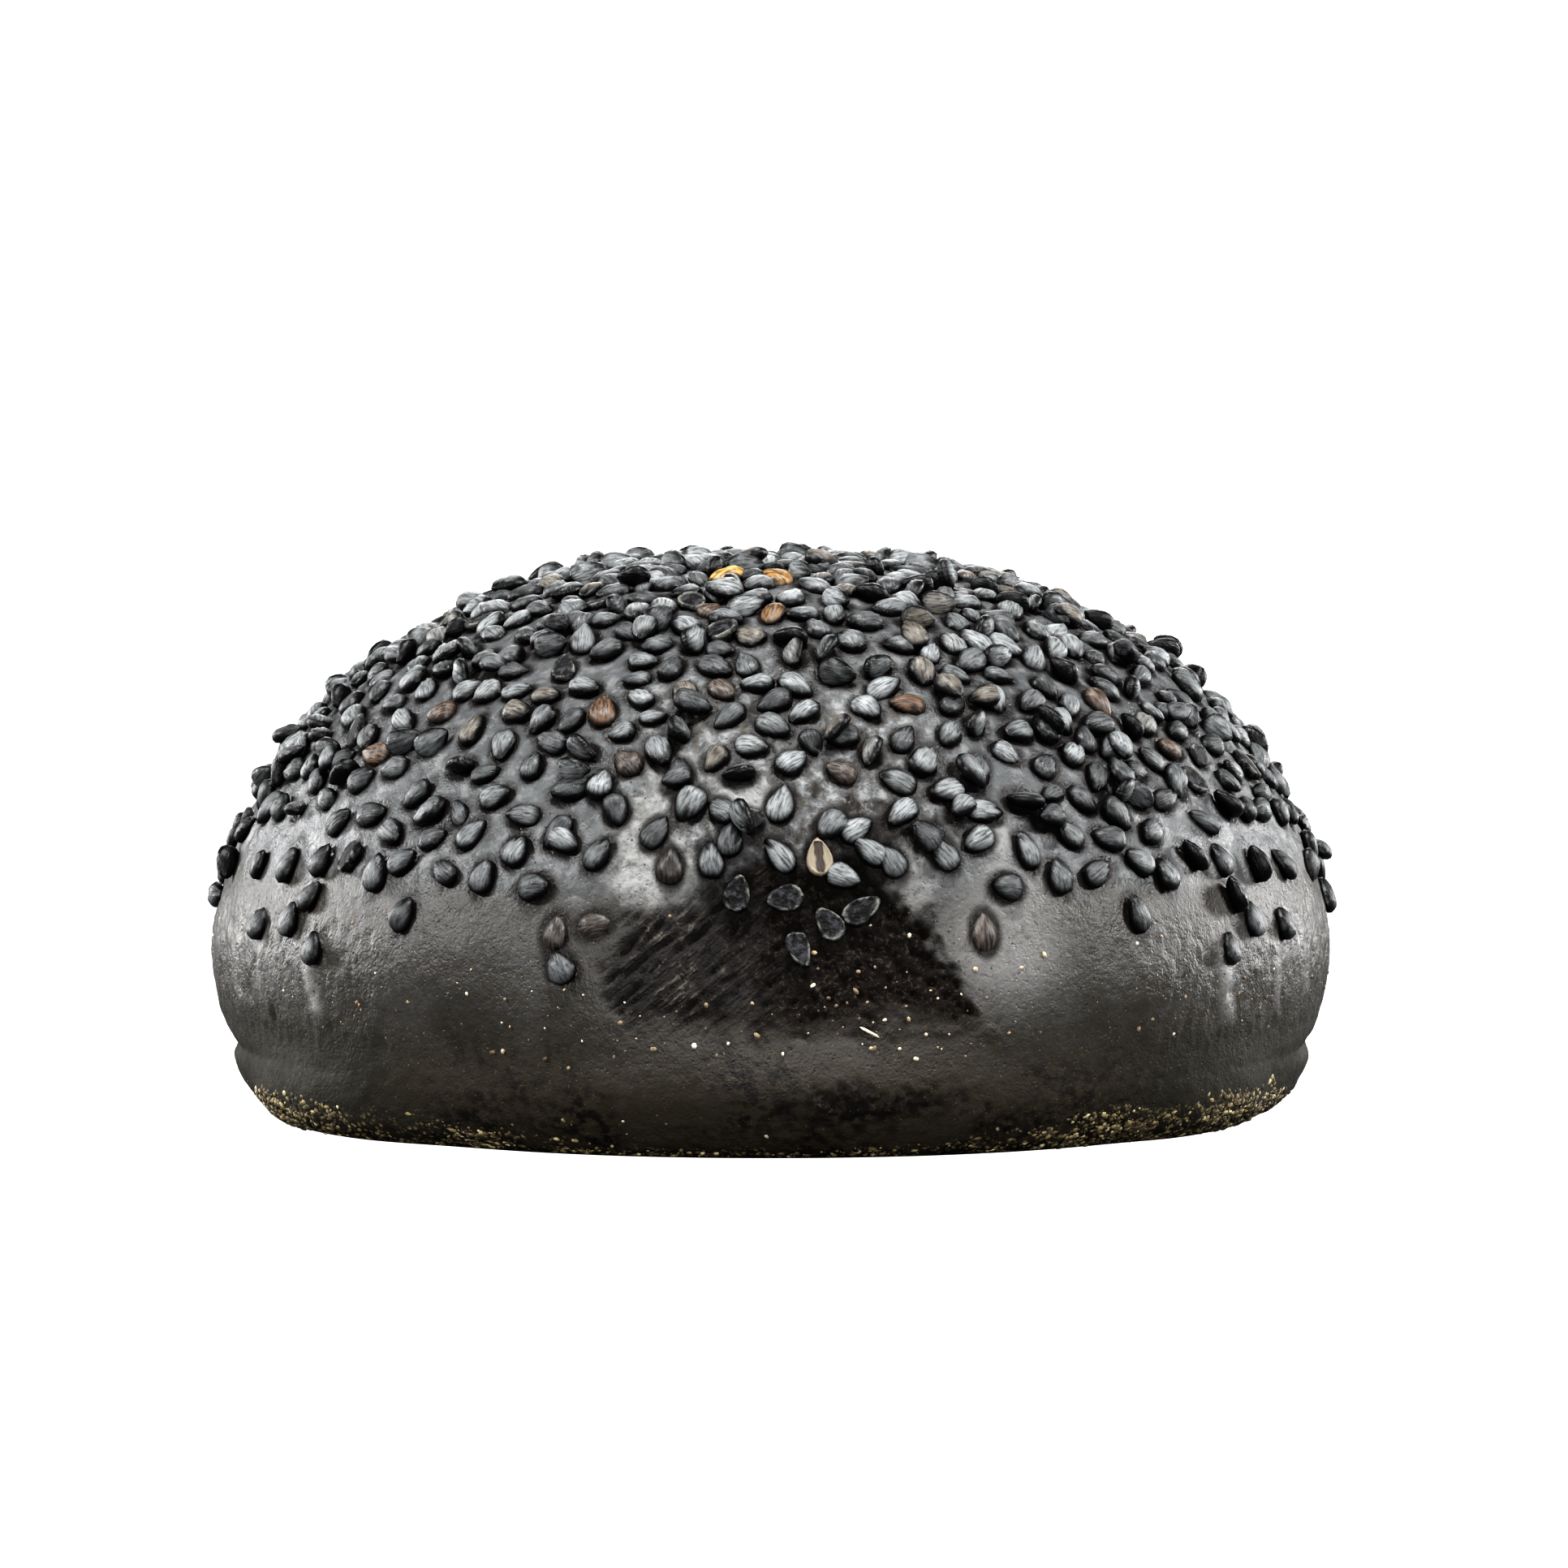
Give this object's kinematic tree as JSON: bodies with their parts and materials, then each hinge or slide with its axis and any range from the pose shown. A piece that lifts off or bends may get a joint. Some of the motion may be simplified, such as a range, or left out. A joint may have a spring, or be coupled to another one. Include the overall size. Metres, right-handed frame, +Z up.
{
  "type": "burger bun",
  "caption": "Whole round burger bun, a low glossy black dome of dough crusted with black sesame seeds, on a flat baked base; a bread roll to be sliced and filled",
  "frame": {"origin": "on the surface the bun stands on, at the middle of its bounding box in X and Y", "axes": "+Z up from the flat base to the crown, -Y to the front, with the sunken patch of wrinkled crust, +X to the right seen from the front"},
  "size_m": [0.1056, 0.1024, 0.0521],
  "materials": {
    "crust": null
  },
  "bodies": {
    "root": {"bread_roll": "crust"}
  },
  "joints": []
}
